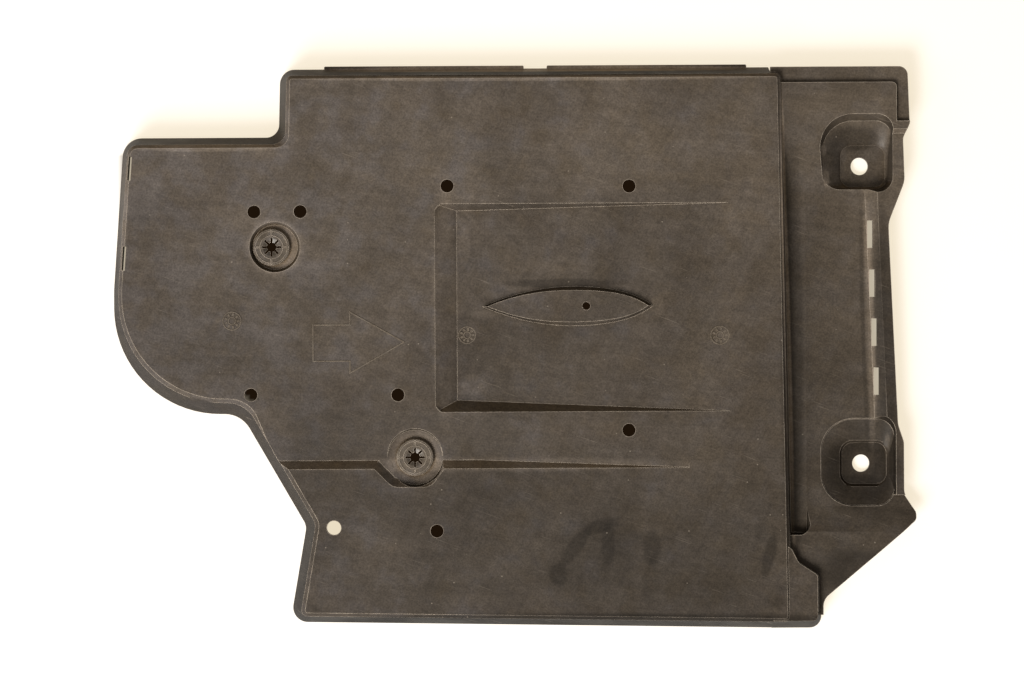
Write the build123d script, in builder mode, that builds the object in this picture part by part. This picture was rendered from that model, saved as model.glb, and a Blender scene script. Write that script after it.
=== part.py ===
from build123d import *
import math
import os

# The panel lies road side up. +X points to the car's front, +Y to its outer side and +Z to the road.
# Sizes are in millimetres. Heights are measured from the surface that the panel lies on.

# Whole panel
PANEL_LENGTH = 485.0  # rear edge of the skirt to the tip of the front tab
PANEL_WIDTH = 342.0  # outer lip to inner edge of the skirt
PLATE_HEIGHT = 20.0  # road face of the plate
WALL = 2.5  # moulded wall
EDGE_BEVEL = 2.0  # height of the bevel along the plate's edge
EDGE_BEVEL_RUN = 1.6

# Skirt: how far each side leans out between the plate and the foot
SKIRT_FLARE = 6.0
NECK_FLARE = 8.0
CORNER_FLARE = 7.2
FRONT_FLARE = 4.0

# Plate outline, from its own edges
LOBE_LENGTH = 100.5  # rear edge to the step in the outer edge
LOBE_SETBACK = 41.2  # outer edge to the lobe's outer edge
LOBE_WIDTH = 153.8
LOBE_RADIUS = 64.0
LOBE_FLOOR = 75.5  # rear edge to the start of the neck
REAR_LEAN = 6.0
STEP_LEAN = 1.0
NECK_LENGTH = 42.5
NECK_DEPTH = 73.5
CORNER_LEAN = 9.5
INNER_SLANT = 5.0
FRONT_STRIP = 82.0  # plate's front edge to the tip of the tab
FRONT_LEAN = 5.0
PLATE_CORNER = 3.0
LOBE_CORNER = 6.0
STEP_FILLET = 8.0
WAIST_FILLET = 9.0
NECK_FILLET = 19.0

# Lips along the foot of the outer skirt
LIP_REACH = 1.5
LIP_GAP = 14.0
LIP_LENGTH = 121.0
LIP_FROM_FRONT = 18.5  # front end of the front lip to the plate's front edge

# Front strip: drops are measured down from the road face of the plate
SHELF_DROP = 3.5
FRONT_LIP_DROP = 5.6
CHANNEL_DROP = 11.0
RIM_DROP = 7.0
TAB_DROP = 5.0
TAB_EDGE_DROP = 7.0
FRONT_LIP_REACH = 4.8  # past the plate's outer edge
FRONT_LIP_WIDTH = 9.6
FRONT_LIP_SIDE = 33.0  # how far the lip runs on past the front corner, up to the rim
FRONT_LIP_START = 5.0  # behind the plate's front edge
FRONT_CORNER_INSET = 4.5  # behind the tip of the tab
FRONT_CORNER_RADIUS = 5.5
GUTTER_DEPTH = 1.2
GUTTER_WIDTH = 11.0
GUTTER_SLOPE_RUN = 9.0
GUTTER_FADE = 85.0  # length over which its outer end comes up to the channel
GUTTER_CORNER = 10.0

# Front edge beside each bolt pocket: distance behind the tab's tip, distance outwards of the bolt, radius
OUTER_POCKET_EDGE = ((3.3, 25.2, 4.0), (7.1, 16.2, 6.0), (6.3, -9.8, 14.0), (16.2, -34.8, 16.0))
INNER_POCKET_EDGE = ((11.0, 23.7, 12.0), (7.5, 13.2, 8.0), (7.5, -17.8, 8.0))
TAB_TIP = ((0.0, -29.3, 4.0), (0.0, -33.7, 4.0))

# Ramps of the strip, measured outwards of the nearer bolt
SHELF_END = 27.2
CHANNEL_START = -15.8
CHANNEL_END = -25.8
TAB_START = -40.8
TAB_CREASE = -52.0

# Bolt pockets
BOLT_SPACING = 180.0
BOLT_FROM_FRONT = 32.2
BOLT_FROM_OUTER = 54.7  # plate's outer edge to the outer bolt
BOLT_HOLE_RADIUS = 5.25
POCKET_LENGTH = 30.0
POCKET_WIDTH = 28.0
POCKET_CORNER = 8.0
POCKET_OFFSET = 1.9  # the pocket's middle lies this far in front of its bolt
POCKET_DRAFT = 1.5
DISH_HEIGHT = 4.2  # where the well ends and the dish round it starts
DISH_SLOPE = 0.6  # run of the dish's wall for each millimetre of rise
OUTER_DISH = (13.0, 1.5, 0.5, 10.0)  # run of the dish's floor: outwards, forwards, inwards, rearwards
OUTER_DISH_RISE = 6.0
INNER_DISH = (13.0, 2.5, 11.0, 11.5)
INNER_DISH_RISE = 4.0

# Rim wall and its slots
RIM_WALL_FOOT = 30.5  # behind the tab's tip, beside the outer bolt
RIM_WALL_LEAN = 7.0  # how far it nears the front by the inner bolt
RIM_WALL_SLOPE = 1.75  # run for each millimetre of rise
RIM_OUTER_END = 19.2  # outwards of the outer bolt
RIM_INNER_END = -18.8  # outwards of the inner bolt
RIM_SLOT_WIDTH = 3.0
RIM_SLOT_LENGTH = 16.4
RIM_SLOT_SPACING = 29.6
RIM_SLOT_COUNT = 4
RIM_SLOT_SHIFT = 4.2  # the row's middle, outwards of the middle between the bolts
RIM_SLOT_INSET = 1.9  # in front of the wall's foot

# Corner block between the tab and the inner skirt
BLOCK_DROP = 1.0
BLOCK_LENGTH = 21.5  # in front of the plate's front edge
BLOCK_SIDE = 27.5
BLOCK_STEP = 45.0
BLOCK_FLARE = 1.0
BLOCK_FILLET = 6.0
TAB_INNER_END = 12.2  # the tab's end above the plate's inner edge
TAB_FILLET = 9.0  # between the tab's slanted edge and the block

# Ramped recess and the airfoil island in it
RECESS_DEPTH = 6.5
RECESS_LENGTH = 178.0
RECESS_WIDTH = 125.0
RECESS_FROM_FRONT = 29.5
RECESS_FROM_OUTER = 77.0
RECESS_REAR_RUN = 13.0
RECESS_OUTER_RUN = 4.0
RECESS_INNER_RUN = 7.0
RECESS_CORNER = 10.0
ISLAND_LENGTH = 105.5
ISLAND_WIDTH = 25.0
ISLAND_FROM_REAR = 27.0  # recess's rear edge to the island's tail
ISLAND_FROM_OUTER = 61.7
ISLAND_THICKEST = 66.0
ISLAND_TAIL_SPREAD = 0.42  # sideways run of each side for each millimetre along
ISLAND_NOSE_SPREAD = 0.75
ISLAND_HEIGHT = 2.8
ISLAND_DRAFT = 3.2
ISLAND_HOLE_RADIUS = 2.4
ISLAND_HOLE_FROM_TAIL = 63.8

# Drainage groove along the inner side
GROOVE_FROM_INNER = 92.6
GROOVE_DEPTH = 3.2
GROOVE_WALL_RUN = 5.0
GROOVE_FLOOR = 2.0
GROOVE_SLOPE_RUN = 27.0
GROOVE_FADE_LENGTH = 125.0
GROOVE_FROM_FRONT = 55.5
GROOVE_FADE = 0.05  # what is left of the groove's section where it runs out
BULGE_REAR = (24.5, 13.5)  # the groove's wall rounds the inner seat: its start and end behind the seat
BULGE_FRONT = (17.5, 9.5)
BULGE_DEPTH = 17.8  # seat's middle to the wall's edge
BULGE_FILLET = 9.0

# Stud seats and clips
REAR_SEAT = (93.5, 102.4)  # from the plate's rear edge and outer edge
INNER_SEAT = (177.0, 229.1)
REAR_SEAT_RINGS = ((3.5, 13.5), (0.0, 15.2))  # depth below the plate and radius, from the floor up
INNER_SEAT_RINGS = ((4.6, 12.1), (GROOVE_DEPTH, 16.5), (0.0, BULGE_DEPTH))
SEAT_HOLE_RADIUS = 8.7
CLIP_RADIUS = 11.2
CLIP_THICKNESS = 2.4
CLIP_CHAMFER = 0.6
CLIP_NECK_RADIUS = 6.6
CLIP_TUBE_RADIUS = 5.8
CLIP_BARB_RADIUS = 9.9
CLIP_BARB_HEIGHT = 2.4
CLIP_PLAY = 0.3  # between the panel's wall and the clip's barb
CLIP_BORE_RADIUS = 2.8  # at the fingers' tips
CLIP_DISH_DEPTH = 1.0
CLIP_FINGER_THICKNESS = 0.9
CLIP_SLIT_WIDTH = 1.2
CLIP_SLIT_COUNT = 8
REAR_CLIP_DRIFT = 2.0  # how far the rear clip has slid towards the rear edge

# Holes and slots, from the plate's rear edge and outer edge
DRAIN_HOLES = (
    (81.2, 81.3),
    (108.9, 81.2),
    (197.1, 66.3),
    (306.3, 66.9),
    (78.8, 191.1),
    (167.0, 191.5),
    (305.5, 213.3),
    (190.0, 273.3),
)
DRAIN_RADIUS = 3.9
MOUNT_HOLE = (128.2, 271.1)
MOUNT_HOLE_RADIUS = 4.3
REAR_SLOTS = (54.8, 108.8)  # from the plate's outer edge to each slot's middle
REAR_SLOT_WIDTH = 2.0
REAR_SLOT_LENGTH = 14.5
REAR_SLOT_INSET = 1.5

CUT_MARGIN = 5.0  # how far cutting solids stand past what they cut


# Lines of the plate, worked out from the sizes above
front_tip = PANEL_LENGTH / 2
plate_rear = -PANEL_LENGTH / 2 + SKIRT_FLARE
plate_front = front_tip - FRONT_STRIP
plate_outer = PANEL_WIDTH / 2 - LIP_REACH - SKIRT_FLARE
plate_inner = -PANEL_WIDTH / 2 + SKIRT_FLARE
lobe_outer = plate_outer - LOBE_SETBACK
lobe_inner = lobe_outer - LOBE_WIDTH
rear_straight = lobe_inner + LOBE_RADIUS + PLATE_CORNER
step_x = plate_rear + LOBE_LENGTH
neck_start = plate_rear + LOBE_FLOOR
waist_x = neck_start + NECK_LENGTH
waist_y = lobe_inner - NECK_DEPTH
corner_x = waist_x - CORNER_LEAN
corner_y = plate_inner + INNER_SLANT
under_plate = PLATE_HEIGHT - WALL

plate_corners = [
    (plate_rear + REAR_LEAN, lobe_outer),
    (step_x, lobe_outer),
    (step_x + STEP_LEAN, plate_outer),
    (plate_front, plate_outer),
    (plate_front + FRONT_LEAN, plate_inner),
    (corner_x, corner_y),
    (waist_x, waist_y),
    (neck_start, lobe_inner),
    (plate_rear, lobe_inner),
    (plate_rear, rear_straight),
]
plate_radii = [
    LOBE_CORNER,
    STEP_FILLET,
    PLATE_CORNER,
    PLATE_CORNER,
    PLATE_CORNER,
    PLATE_CORNER,
    WAIST_FILLET,
    NECK_FILLET,
    LOBE_RADIUS,
    LOBE_RADIUS,
]
skirt_flares = [
    SKIRT_FLARE,
    SKIRT_FLARE,
    SKIRT_FLARE,
    FRONT_FLARE,
    SKIRT_FLARE,
    CORNER_FLARE,
    NECK_FLARE,
    NECK_FLARE,
    SKIRT_FLARE,
    SKIRT_FLARE,
]

# Lines and levels of the front strip
bolt_x = front_tip - BOLT_FROM_FRONT
outer_bolt = plate_outer - BOLT_FROM_OUTER
inner_bolt = outer_bolt - BOLT_SPACING
strip_rear = plate_front - FRONT_LIP_START
strip_outer = plate_outer + FRONT_LIP_REACH
tab_end = plate_inner + TAB_INNER_END
tab_foot = plate_inner + PLATE_CORNER
block_front = plate_front + BLOCK_LENGTH
shelf = PLATE_HEIGHT - SHELF_DROP
front_lip = PLATE_HEIGHT - FRONT_LIP_DROP
channel = PLATE_HEIGHT - CHANNEL_DROP
rim = PLATE_HEIGHT - RIM_DROP
tab = PLATE_HEIGHT - TAB_DROP
tab_edge = PLATE_HEIGHT - TAB_EDGE_DROP

strip_edge = [(strip_rear, strip_outer, 0.0)]
strip_edge += [(front_tip - FRONT_CORNER_INSET, strip_outer, FRONT_CORNER_RADIUS)]
strip_edge += [(front_tip - back, outer_bolt + out, radius) for back, out, radius in OUTER_POCKET_EDGE]
strip_edge += [(front_tip - back, inner_bolt + out, radius) for back, out, radius in INNER_POCKET_EDGE]
strip_edge += [(front_tip - back, inner_bolt + out, radius) for back, out, radius in TAB_TIP]
strip_edge += [(block_front + FRONT_FLARE, tab_end, TAB_FILLET), (block_front + FRONT_FLARE, tab_foot, 0.0)]
strip_edge += [(strip_rear, tab_foot, 0.0)]


def edge_vectors(corners):
    """Unit direction and length of each edge of a closed outline, from a corner to the next."""
    edges = []
    for (x0, y0), (x1, y1) in zip(corners, corners[1:] + corners[:1]):
        length = math.hypot(x1 - x0, y1 - y0)
        edges.append(((x1 - x0) / length, (y1 - y0) / length, length))
    return edges


def moved_out(corners, shifts):
    """Corners of a clockwise outline after each edge has moved out by its own shift."""
    edges = edge_vectors(corners)
    moved = []
    for i, (x, y) in enumerate(corners):
        ax, ay, _ = edges[i - 1]
        bx, by, _ = edges[i]
        start_x = x - ay * shifts[i - 1]
        start_y = y + ax * shifts[i - 1]
        gap_x = x - by * shifts[i] - start_x
        gap_y = y + bx * shifts[i] - start_y
        along = (gap_x * by - gap_y * bx) / (ax * by - ay * bx)
        moved.append((start_x + ax * along, start_y + ay * along))
    return moved


def fitting_radii(corners, radii):
    """Corner radii, each lowered where its arc and a neighbour's would not fit on their edge."""
    edges = edge_vectors(corners)
    tangents = []
    for i, radius in enumerate(radii):
        ax, ay, _ = edges[i - 1]
        bx, by, _ = edges[i]
        turn = math.atan2(ax * by - ay * bx, ax * bx + ay * by)
        tangents.append(radius * math.tan(abs(turn) / 2))
    fitted = []
    for i, radius in enumerate(radii):
        before = edges[i - 1][2] / max(tangents[i] + tangents[i - 1], 1e-6)
        after = edges[i][2] / max(tangents[i] + tangents[(i + 1) % len(radii)], 1e-6)
        fitted.append(radius * min(1.0, 0.97 * before, 0.97 * after))
    return fitted


def grown_radii(corners, radii, shifts):
    """Corner radii of a moved outline: outward corners grow with the shift, inward ones keep theirs."""
    edges = edge_vectors(corners)
    grown = []
    for i, radius in enumerate(radii):
        ax, ay, _ = edges[i - 1]
        bx, by, _ = edges[i]
        outward = ax * by - ay * bx < 0
        grown.append(max(radius + min(shifts[i - 1], shifts[i]), WALL / 5) if outward else radius)
    return grown


def rounded_face(height, corners, radii):
    """A flat face at a height, inside a closed outline with rounded corners."""
    with BuildSketch(Plane.XY.offset(height)) as face:
        with BuildLine():
            FilletPolyline(*corners, radius=fitting_radii(corners, radii), close=True)
        make_face()
    return face.sketch


def tapered_block(corners, radii, top, bottom, top_shifts, bottom_shifts):
    """A block between an outline moved by the top shifts and the same one moved by the bottom shifts."""
    top_corners = moved_out(corners, top_shifts)
    bottom_corners = moved_out(corners, bottom_shifts)
    top_face = rounded_face(top, top_corners, grown_radii(corners, radii, top_shifts))
    bottom_face = rounded_face(bottom, bottom_corners, grown_radii(corners, radii, bottom_shifts))
    with BuildPart() as block:
        loft([top_face, bottom_face], ruled=True)
    return block


def same(shift, outline):
    """One shift for every edge of an outline."""
    return [shift] * len(outline)


def rectangle(rear, front, inner, outer):
    """Corners of a rectangle, clockwise from its rear outer corner."""
    return [(rear, outer), (front, outer), (front, inner), (rear, inner)]


def prism(height, corners, radii, amount):
    """A straight block that rises from an outline with rounded corners."""
    with BuildPart() as block:
        extrude(rounded_face(height, corners, radii), amount=amount)
    return block.part


def cross_prism(points, rear, front):
    """A block between two planes across the car, from a closed profile of (outwards, height) points."""
    with BuildPart() as block:
        with BuildSketch(Plane.YZ.offset(rear)):
            with BuildLine():
                Polyline(*points, close=True)
            make_face()
        extrude(amount=front - rear)
    return block.part


def long_prism(points, inner, outer):
    """A block between two planes along the car, from a closed profile of (forwards, height) points."""
    with BuildPart() as block:
        with BuildSketch(Plane.XZ.offset(-outer)):
            with BuildLine():
                Polyline(*points, close=True)
            make_face()
        extrude(amount=outer - inner)
    return block.part


def strip_levels(drop, foot):
    """The front strip's shelf, channel and tab as one block, with its surface lowered by a drop."""
    points = [
        (strip_outer + CUT_MARGIN, foot),
        (strip_outer + CUT_MARGIN, shelf - drop),
        (outer_bolt + SHELF_END, shelf - drop),
        (outer_bolt + CHANNEL_START, channel - drop),
        (inner_bolt + CHANNEL_END, channel - drop),
        (inner_bolt + TAB_START, tab - drop),
        (inner_bolt + TAB_CREASE, tab - drop),
        (tab_end, tab_edge - drop),
        (tab_foot, tab_edge - drop),
        (tab_foot, foot),
    ]
    return cross_prism(points, strip_rear, front_tip + CUT_MARGIN)


def front_lip_cut(grow):
    """The space above the front lip, which runs along the outer edge and turns the front corner."""
    side = front_tip - FRONT_CORNER_INSET - FRONT_LIP_WIDTH + FRONT_CORNER_RADIUS / 2 - grow
    step = strip_outer - FRONT_LIP_WIDTH - grow
    turn = strip_outer - FRONT_LIP_SIDE - grow
    far_x = front_tip + 2 * CUT_MARGIN
    far_y = strip_outer + 2 * CUT_MARGIN
    corners = [
        (strip_rear - CUT_MARGIN, far_y),
        (far_x, far_y),
        (far_x, turn),
        (side, turn),
        (side, step),
        (strip_rear - CUT_MARGIN, step),
    ]
    return prism(front_lip - grow, corners, [0, 0, 0, 0, FRONT_CORNER_RADIUS / 2, 0], PLATE_HEIGHT)


def gutter_cut(grow):
    """The gutter that deepens towards the plate's front wall and ends before the tab."""
    floor = channel - GUTTER_DEPTH - grow
    near = plate_front - CUT_MARGIN
    edge = plate_front + FRONT_LEAN + GUTTER_WIDTH + grow
    over = tab + CUT_MARGIN
    across = [
        (near, floor),
        (edge - GUTTER_SLOPE_RUN, floor),
        (edge, channel - grow),
        (edge + 2 * WALL, over),
        (near, over),
    ]
    inner = inner_bolt + TAB_START - grow
    outer = outer_bolt + CHANNEL_START
    along = [
        (inner, floor - WALL),
        (inner - WALL, over),
        (outer, over),
        (outer, channel - grow),
        (outer - GUTTER_FADE, floor),
    ]
    plan = rectangle(near, edge + WALL, inner - WALL, outer + CUT_MARGIN)
    rounding = prism(floor - CUT_MARGIN, plan, [0, 0, GUTTER_CORNER, 0], PLATE_HEIGHT + CUT_MARGIN)
    with BuildPart() as gutter:
        add(long_prism(across, inner - CUT_MARGIN, outer + CUT_MARGIN))
        add(cross_prism(along, near - CUT_MARGIN, edge + CUT_MARGIN), mode=Mode.INTERSECT)
        add(rounding, mode=Mode.INTERSECT)
    return gutter.part


def rim_block(drop):
    """The raised rim along the front edge, with its sloping rear wall, lowered by a drop."""
    outer = outer_bolt + RIM_OUTER_END
    inner = inner_bolt + RIM_INNER_END
    lean = RIM_WALL_LEAN / BOLT_SPACING
    far = front_tip + CUT_MARGIN
    faces = []
    for height in (rim - drop, channel - drop - WALL):
        foot = front_tip - RIM_WALL_FOOT + (height + drop - channel) * RIM_WALL_SLOPE
        rear_outer = (foot + (outer_bolt - outer) * lean, outer)
        rear_inner = (foot + (outer_bolt - inner) * lean, inner)
        faces.append(rounded_face(height, [rear_outer, (far, outer), (far, inner), rear_inner], [0, 0, 0, 0]))
    with BuildPart() as block:
        loft(faces, ruled=True)
    return block.part


def rim_clearance(drop):
    """The space above the rim where the shelf runs down to it."""
    outer = outer_bolt + RIM_OUTER_END
    inner = inner_bolt + RIM_INNER_END
    points = [
        (outer + RIM_DROP, PLATE_HEIGHT - drop),
        (outer, rim - drop),
        (inner, rim - drop),
        (inner, PLATE_HEIGHT - drop),
    ]
    rear = front_tip - RIM_WALL_FOOT + (RIM_DROP + WALL)
    return cross_prism(points, rear, front_tip + CUT_MARGIN)


def pocket_cut(bolt_y, runs, rise, grow):
    """A bolt pocket: a square well for the bolt's head, a sloping dish round it and the dish's wall."""
    middle = bolt_x + POCKET_OFFSET
    half_length = POCKET_LENGTH / 2
    half_width = POCKET_WIDTH / 2
    well = rectangle(middle - half_length, middle + half_length, bolt_y - half_width, bolt_y + half_width)
    radii = same(POCKET_CORNER, well)
    mouth = DISH_HEIGHT - grow
    brink = mouth + rise
    wall = PLATE_HEIGHT - mouth - rise
    lower = tapered_block(well, radii, mouth, WALL - grow, same(grow, well), same(grow - POCKET_DRAFT, well))
    spread = [run + grow for run in runs]
    dish = tapered_block(well, radii, brink, mouth, spread, same(grow, well))
    upper_spread = [run + wall * DISH_SLOPE for run in spread]
    upper_spread[1] = spread[1] + WALL / 2
    upper = tapered_block(well, radii, brink + wall, brink, upper_spread, spread)
    with BuildPart() as pocket:
        add(lower.part)
        add(dish.part)
        add(upper.part)
    return pocket.part


def corner_block(drop, shift, foot):
    """The low block at the inner front corner, joined to the plate's front wall."""
    top = PLATE_HEIGHT - BLOCK_DROP - drop
    near = plate_front - CUT_MARGIN
    corners = [
        (near, plate_inner + BLOCK_STEP),
        (plate_front + FRONT_LEAN, plate_inner + BLOCK_STEP),
        (plate_front + 2 * FRONT_LEAN, plate_inner + BLOCK_STEP - 2 * FRONT_LEAN),
        (block_front, plate_inner + BLOCK_SIDE),
        (block_front, plate_inner),
        (near, plate_inner),
    ]
    radii = [0, BLOCK_FILLET, BLOCK_FILLET, BLOCK_FILLET / 2, PLATE_CORNER, 0]
    flares = [BLOCK_FLARE, BLOCK_FLARE, BLOCK_FLARE, FRONT_FLARE, SKIRT_FLARE, 0]
    inside = [shift, shift, shift, shift, shift, 0]
    bottom = [flare + move for flare, move in zip(flares, inside)]
    return tapered_block(corners, radii, top, foot, inside, bottom)


recess_front = plate_front - RECESS_FROM_FRONT
recess_rear = recess_front - RECESS_LENGTH
recess_outer = plate_outer - RECESS_FROM_OUTER
recess_inner = recess_outer - RECESS_WIDTH
ramp_slope = RECESS_DEPTH / (RECESS_LENGTH - RECESS_REAR_RUN)


def recess_cut(grow):
    """The ramped recess: deepest behind its steep rear wall, level with the plate at its front end."""
    top = PLATE_HEIGHT - grow
    over = WALL / 2
    floor_rear = recess_rear + RECESS_REAR_RUN
    along = [
        (recess_rear - grow - over * RECESS_REAR_RUN / RECESS_DEPTH, top + over),
        (floor_rear - grow, top - RECESS_DEPTH - grow * ramp_slope),
        (recess_front + over / ramp_slope, top + over),
    ]
    outer_slope = RECESS_OUTER_RUN / RECESS_DEPTH
    inner_slope = RECESS_INNER_RUN / RECESS_DEPTH
    deep = RECESS_DEPTH + WALL
    across = [
        (recess_outer + grow + over * outer_slope, top + over),
        (recess_outer + grow - deep * outer_slope, top - deep),
        (recess_inner - grow + deep * inner_slope, top - deep),
        (recess_inner - grow - over * inner_slope, top + over),
    ]
    side = grow + over
    plan = rectangle(recess_rear - side, plate_front, recess_inner - side, recess_outer + side)
    rounding = prism(-CUT_MARGIN, plan, [RECESS_CORNER, 0, 0, RECESS_CORNER], PLATE_HEIGHT + 2 * CUT_MARGIN)
    with BuildPart() as recess:
        add(long_prism(along, recess_inner - 2 * CUT_MARGIN, recess_outer + 2 * CUT_MARGIN))
        add(cross_prism(across, recess_rear - 2 * CUT_MARGIN, plate_front + CUT_MARGIN), mode=Mode.INTERSECT)
        add(rounding, mode=Mode.INTERSECT)
    return recess.part


island_tail = recess_rear + ISLAND_FROM_REAR
island_middle = recess_outer - ISLAND_FROM_OUTER
ramp_angle = math.degrees(math.atan(ramp_slope))


def island_face(height, inset):
    """The airfoil outline on a plane parallel to the ramp, drawn in by an inset all round."""
    tail_height = PLATE_HEIGHT - RECESS_DEPTH + (ISLAND_FROM_REAR - RECESS_REAR_RUN) * ramp_slope
    base = Plane((island_tail, island_middle, tail_height)).rotated((0, -ramp_angle, 0))
    tail = (1.4 * inset, 0)
    nose = (ISLAND_LENGTH - 1.4 * inset, 0)
    half = ISLAND_WIDTH / 2 - inset
    with BuildSketch(base.offset(height)) as face:
        with BuildLine():
            for side in (1, -1):
                ends = ((1, side * ISLAND_TAIL_SPREAD), (1, -side * ISLAND_NOSE_SPREAD))
                Spline(tail, (ISLAND_THICKEST, side * half), nose, tangents=ends)
        make_face()
    return face.sketch


def island_block(drop):
    """The raised airfoil island on the recess floor, or with a drop the hollow under it."""
    with BuildPart() as island:
        loft(
            [island_face(-WALL / 2 - drop, drop), island_face(ISLAND_HEIGHT - drop, drop + ISLAND_DRAFT)],
            ruled=True,
        )
    return island.part


groove_edge = plate_inner + GROOVE_FROM_INNER


def groove_cut(drop):
    """The drainage groove: a steep inner wall, a floor and an outer bank, fading out towards the front."""
    top = PLATE_HEIGHT - drop
    over = WALL / 2
    edge = groove_edge
    wall_slope = GROOVE_WALL_RUN / GROOVE_DEPTH
    bank_slope = GROOVE_SLOPE_RUN / GROOVE_DEPTH
    floor_end = GROOVE_WALL_RUN + GROOVE_FLOOR
    fade_end = plate_front - GROOVE_FROM_FRONT
    sections = []
    for x, share in ((plate_rear, 1.0), (fade_end - GROOVE_FADE_LENGTH, 1.0), (fade_end, GROOVE_FADE)):
        with BuildSketch(Plane.YZ.offset(x)) as section:
            with BuildLine():
                Polyline(
                    (edge - over * wall_slope, top + over),
                    (edge + GROOVE_WALL_RUN * share, top - GROOVE_DEPTH * share),
                    (edge + floor_end * share, top - GROOVE_DEPTH * share),
                    (edge + (floor_end + GROOVE_SLOPE_RUN) * share + over * bank_slope, top + over),
                    close=True,
                )
            make_face()
        sections.append(section.sketch)
    with BuildPart() as groove:
        loft(sections, ruled=True)
    return groove.part


def from_plate(place):
    """A place on the plate, from its distances to the plate's rear edge and outer edge."""
    return plate_rear + place[0], plate_outer - place[1]


def bulge_cut(grow):
    """The bulge of the groove's wall that leaves room round the inner stud seat."""
    x, y = from_plate(INNER_SEAT)
    corners = [
        (x - BULGE_REAR[0], groove_edge),
        (x + BULGE_FRONT[0], groove_edge),
        (x + BULGE_FRONT[1], y - BULGE_DEPTH),
        (x - BULGE_REAR[1], y - BULGE_DEPTH),
    ]
    radii = [0, 0, BULGE_FILLET, BULGE_FILLET]
    top = PLATE_HEIGHT - grow
    rise = WALL / 2
    top_shift = grow + rise * GROOVE_WALL_RUN / GROOVE_DEPTH
    foot_shift = grow - GROOVE_WALL_RUN
    top_shifts = [GROOVE_WALL_RUN, top_shift, top_shift, top_shift]
    foot_shifts = [GROOVE_WALL_RUN, foot_shift, foot_shift, foot_shift]
    return tapered_block(corners, radii, top + rise, top - GROOVE_DEPTH, top_shifts, foot_shifts).part


def seat_cut(place, rings, grow):
    """A round seat for a stud clip, turned from rings of depth and radius."""
    x, y = from_plate(place)
    top = PLATE_HEIGHT - grow
    points = [(x + radius + grow, top - depth) for depth, radius in rings]
    with BuildPart() as seat:
        with BuildSketch(Plane.XZ.offset(-y)):
            with BuildLine():
                Polyline(
                    (x, top - rings[0][0]),
                    *points,
                    (x + rings[-1][1] + grow, top + WALL),
                    (x, top + WALL),
                    close=True,
                )
            make_face()
        revolve(axis=Axis((x, y, 0), (0, 0, 1)))
    return seat.part


# Outer skin of the front strip
pockets = ((outer_bolt, OUTER_DISH, OUTER_DISH_RISE), (inner_bolt, INNER_DISH, INNER_DISH_RISE))
seats = ((REAR_SEAT, REAR_SEAT_RINGS), (INNER_SEAT, INNER_SEAT_RINGS))
strip_corners = [(x, y) for x, y, radius in strip_edge]
strip_radii = [radius for x, y, radius in strip_edge]
with BuildPart() as strip:
    add(strip_levels(0, 0))
    add(front_lip_cut(0), mode=Mode.SUBTRACT)
    add(gutter_cut(0), mode=Mode.SUBTRACT)
    add(rim_clearance(0), mode=Mode.SUBTRACT)
    add(rim_block(0))
    add(prism(-CUT_MARGIN, strip_corners, strip_radii, PLATE_HEIGHT + 2 * CUT_MARGIN), mode=Mode.INTERSECT)
    for bolt_y, runs, rise in pockets:
        add(pocket_cut(bolt_y, runs, rise, 0), mode=Mode.SUBTRACT)

# Space under the front strip
with BuildPart() as strip_hollow:
    add(strip_levels(WALL, -CUT_MARGIN))
    add(front_lip_cut(WALL), mode=Mode.SUBTRACT)
    add(gutter_cut(WALL), mode=Mode.SUBTRACT)
    add(rim_clearance(WALL), mode=Mode.SUBTRACT)
    add(rim_block(WALL))
    for bolt_y, runs, rise in pockets:
        add(pocket_cut(bolt_y, runs, rise, WALL), mode=Mode.SUBTRACT)

# Main tray: the plate with its flared skirt
bevel_foot = PLATE_HEIGHT - EDGE_BEVEL
bevel_shifts = [flare * EDGE_BEVEL / PLATE_HEIGHT for flare in skirt_flares]
skirt = tapered_block(plate_corners, plate_radii, bevel_foot, 0, bevel_shifts, skirt_flares)
bevel = tapered_block(
    plate_corners, plate_radii, PLATE_HEIGHT, bevel_foot, same(-EDGE_BEVEL_RUN, plate_corners), bevel_shifts
)
block = corner_block(0, 0, 0)

# Space under the tray
hollow_flares = [flare - WALL for flare in skirt_flares]
hollow_foot = -CUT_MARGIN / 5
tray_hollow = tapered_block(
    plate_corners, plate_radii, under_plate, hollow_foot, same(-WALL, plate_corners), hollow_flares
)
block_hollow = corner_block(WALL, -WALL, hollow_foot)

# The whole moulding: its outer skin less the space under it
with BuildPart() as skin:
    add(skirt.part)
    add(bevel.part)
    add(strip.part)
    add(block.part)
    add(recess_cut(0), mode=Mode.SUBTRACT)
    add(groove_cut(0), mode=Mode.SUBTRACT)
    add(bulge_cut(0), mode=Mode.SUBTRACT)
    for place, rings in seats:
        add(seat_cut(place, rings, 0), mode=Mode.SUBTRACT)
    add(island_block(0))

with BuildPart() as hollow:
    add(tray_hollow.part)
    add(block_hollow.part)
    add(strip_hollow.part)
    add(recess_cut(WALL), mode=Mode.SUBTRACT)
    add(groove_cut(WALL), mode=Mode.SUBTRACT)
    add(bulge_cut(WALL), mode=Mode.SUBTRACT)
    for place, rings in seats:
        add(seat_cut(place, rings, WALL), mode=Mode.SUBTRACT)
    add(island_block(WALL))

lip_front = plate_front - LIP_FROM_FRONT
lip_y = plate_outer + SKIRT_FLARE / 2
rear_slope = REAR_LEAN / (lobe_outer - rear_straight)

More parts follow.
